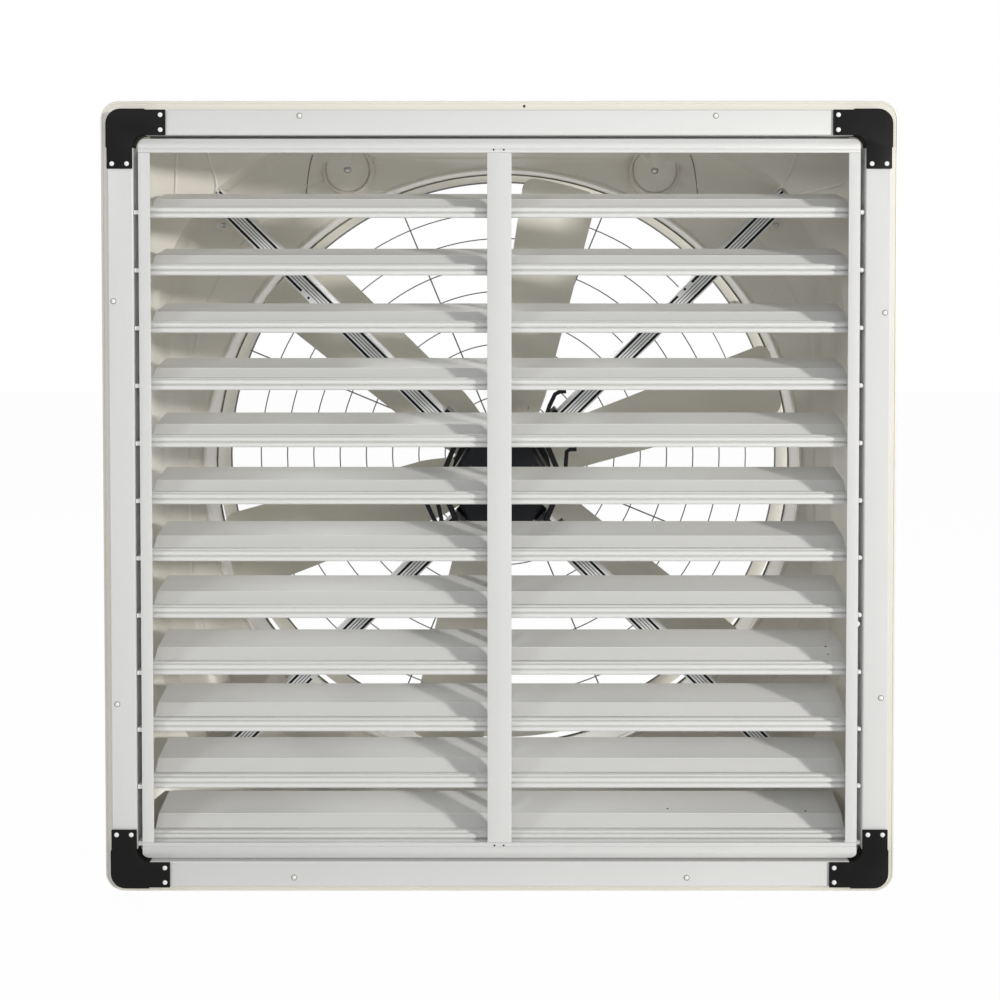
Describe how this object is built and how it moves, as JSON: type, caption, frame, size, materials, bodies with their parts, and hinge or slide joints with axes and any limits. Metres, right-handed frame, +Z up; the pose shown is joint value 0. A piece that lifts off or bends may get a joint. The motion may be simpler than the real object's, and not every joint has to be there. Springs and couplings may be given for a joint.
{
  "type": "wall exhaust fan with louvre shutter",
  "caption": "Large square fibreglass wall fan: white flange, light grey shutter frame with black corner brackets, linked louvres, a direct-drive motor on crossed struts and a wire guard.",
  "frame": {"origin": "on the fan's axis, in the plane of the flange's back face, where the flange meets the wall", "axes": "+X to the right seen from the shutter side, +Y into the wall along the fan's axis, +Z up"},
  "size_m": [1.26, 0.5359, 1.26],
  "materials": {
    "fibreglass": "gel-coated fibreglass, warm white, smooth with a soft gloss",
    "rail_aluminium": "powder-coated aluminium, light grey, satin",
    "black_plastic": "moulded black plastic, fine grain",
    "louvre_enamel": "enamelled sheet, light grey, glossy",
    "mill_aluminium": "mill-finish extrusion, drawn along its length",
    "black_steel": "black powder coat, satin",
    "blade_sheet": "pressed sheet, taupe grey, satin",
    "guard_wire": "plastic-dipped wire, mid grey",
    "steel": "plain steel, brushed"
  },
  "bodies": {
    "fixed_frame": {"frp_housing": "fibreglass", "outer_rail_right": "rail_aluminium", "outer_rail_top": "rail_aluminium", "outer_rail_left": "rail_aluminium", "outer_rail_bottom": "rail_aluminium", "corner_bracket_top_right": "black_plastic", "corner_bracket_top_left": "black_plastic", "corner_bracket_bottom_left": "black_plastic", "corner_bracket_bottom_right": "black_plastic", "shutter_stile_right": "rail_aluminium", "shutter_stile_left": "rail_aluminium", "shutter_head": "rail_aluminium", "shutter_sill": "rail_aluminium", "shutter_mullion": "rail_aluminium", "motor_strut_upper_right": "mill_aluminium", "motor_strut_lower_right": "mill_aluminium", "motor_strut_lower_left": "mill_aluminium", "motor_strut_upper_left": "mill_aluminium", "motor_mount": "black_steel", "strut_brace": "black_steel", "motor_cover": "black_steel", "motor_body": "black_steel", "rear_guard": "guard_wire", "guard_stay_upper_right": "steel", "guard_stay_lower_right": "steel", "guard_stay_lower_left": "steel", "guard_stay_upper_left": "steel"},
    "louvre_row_01": {"louvre_left_01": "louvre_enamel", "louvre_right_01": "louvre_enamel"},
    "louvre_row_02": {"louvre_left_02": "louvre_enamel", "louvre_right_02": "louvre_enamel"},
    "louvre_row_03": {"louvre_left_03": "louvre_enamel", "louvre_right_03": "louvre_enamel"},
    "louvre_row_04": {"louvre_left_04": "louvre_enamel", "louvre_right_04": "louvre_enamel"},
    "louvre_row_05": {"louvre_left_05": "louvre_enamel", "louvre_right_05": "louvre_enamel"},
    "louvre_row_06": {"louvre_left_06": "louvre_enamel", "louvre_right_06": "louvre_enamel"},
    "louvre_row_07": {"louvre_left_07": "louvre_enamel", "louvre_right_07": "louvre_enamel"},
    "louvre_row_08": {"louvre_left_08": "louvre_enamel", "louvre_right_08": "louvre_enamel"},
    "louvre_row_09": {"louvre_left_09": "louvre_enamel", "louvre_right_09": "louvre_enamel"},
    "louvre_row_10": {"louvre_left_10": "louvre_enamel", "louvre_right_10": "louvre_enamel"},
    "louvre_row_11": {"louvre_left_11": "louvre_enamel", "louvre_right_11": "louvre_enamel"},
    "louvre_row_12": {"louvre_left_12": "louvre_enamel", "louvre_right_12": "louvre_enamel"},
    "link": {"louvre_link_bar": "mill_aluminium"},
    "rotor": {"motor_shaft": "steel", "fan_hub": "black_steel", "fan_blade_1": "blade_sheet", "fan_blade_2": "blade_sheet", "fan_blade_3": "blade_sheet", "fan_blade_4": "blade_sheet", "fan_blade_5": "blade_sheet", "fan_blade_6": "blade_sheet"}
  },
  "joints": [
    {"name": "louvre_pivot_01", "type": "hinge", "parent": "fixed_frame", "child": "louvre_row_01", "pos_m": [0, -0.01, 0.458], "axis": [1, 0, 0], "range_deg": [0, 60]},
    {"name": "louvre_pivot_02", "type": "hinge", "parent": "fixed_frame", "child": "louvre_row_02", "pos_m": [0, -0.01, 0.36729], "axis": [1, 0, 0], "range_deg": [0, 60]},
    {"name": "louvre_pivot_03", "type": "hinge", "parent": "fixed_frame", "child": "louvre_row_03", "pos_m": [0, -0.01, 0.27658], "axis": [1, 0, 0], "range_deg": [0, 60]},
    {"name": "louvre_pivot_04", "type": "hinge", "parent": "fixed_frame", "child": "louvre_row_04", "pos_m": [0, -0.01, 0.18587], "axis": [1, 0, 0], "range_deg": [0, 60]},
    {"name": "louvre_pivot_05", "type": "hinge", "parent": "fixed_frame", "child": "louvre_row_05", "pos_m": [0, -0.01, 0.09516], "axis": [1, 0, 0], "range_deg": [0, 60]},
    {"name": "louvre_pivot_06", "type": "hinge", "parent": "fixed_frame", "child": "louvre_row_06", "pos_m": [0, -0.01, 0.00445], "axis": [1, 0, 0], "range_deg": [0, 60]},
    {"name": "louvre_pivot_07", "type": "hinge", "parent": "fixed_frame", "child": "louvre_row_07", "pos_m": [0, -0.01, -0.08625], "axis": [1, 0, 0], "range_deg": [0, 60]},
    {"name": "louvre_pivot_08", "type": "hinge", "parent": "fixed_frame", "child": "louvre_row_08", "pos_m": [0, -0.01, -0.17696], "axis": [1, 0, 0], "range_deg": [0, 60]},
    {"name": "louvre_pivot_09", "type": "hinge", "parent": "fixed_frame", "child": "louvre_row_09", "pos_m": [0, -0.01, -0.26767], "axis": [1, 0, 0], "range_deg": [0, 60]},
    {"name": "louvre_pivot_10", "type": "hinge", "parent": "fixed_frame", "child": "louvre_row_10", "pos_m": [0, -0.01, -0.35838], "axis": [1, 0, 0], "range_deg": [0, 60]},
    {"name": "louvre_pivot_11", "type": "hinge", "parent": "fixed_frame", "child": "louvre_row_11", "pos_m": [0, -0.01, -0.44909], "axis": [1, 0, 0], "range_deg": [0, 60]},
    {"name": "louvre_pivot_12", "type": "hinge", "parent": "fixed_frame", "child": "louvre_row_12", "pos_m": [0, -0.01, -0.5398], "axis": [1, 0, 0], "range_deg": [0, 60]},
    {"name": "link_pivot", "type": "hinge", "parent": "louvre_row_01", "child": "link", "pos_m": [0, 0.036, 0.466], "axis": [1, 0, 0], "range_deg": [-60, 0]},
    {"name": "fan_shaft", "type": "hinge", "parent": "fixed_frame", "child": "rotor", "pos_m": [0, 0.33, 0], "axis": [0, 1, 0], "continuous": true}
  ],
  "couplings": [
    {"joint": "louvre_pivot_02", "follows": "louvre_pivot_01", "ratio": 1},
    {"joint": "louvre_pivot_03", "follows": "louvre_pivot_01", "ratio": 1},
    {"joint": "louvre_pivot_04", "follows": "louvre_pivot_01", "ratio": 1},
    {"joint": "louvre_pivot_05", "follows": "louvre_pivot_01", "ratio": 1},
    {"joint": "louvre_pivot_06", "follows": "louvre_pivot_01", "ratio": 1},
    {"joint": "louvre_pivot_07", "follows": "louvre_pivot_01", "ratio": 1},
    {"joint": "louvre_pivot_08", "follows": "louvre_pivot_01", "ratio": 1},
    {"joint": "louvre_pivot_09", "follows": "louvre_pivot_01", "ratio": 1},
    {"joint": "louvre_pivot_10", "follows": "louvre_pivot_01", "ratio": 1},
    {"joint": "louvre_pivot_11", "follows": "louvre_pivot_01", "ratio": 1},
    {"joint": "louvre_pivot_12", "follows": "louvre_pivot_01", "ratio": 1},
    {"joint": "link_pivot", "follows": "louvre_pivot_01", "ratio": -1}
  ]
}
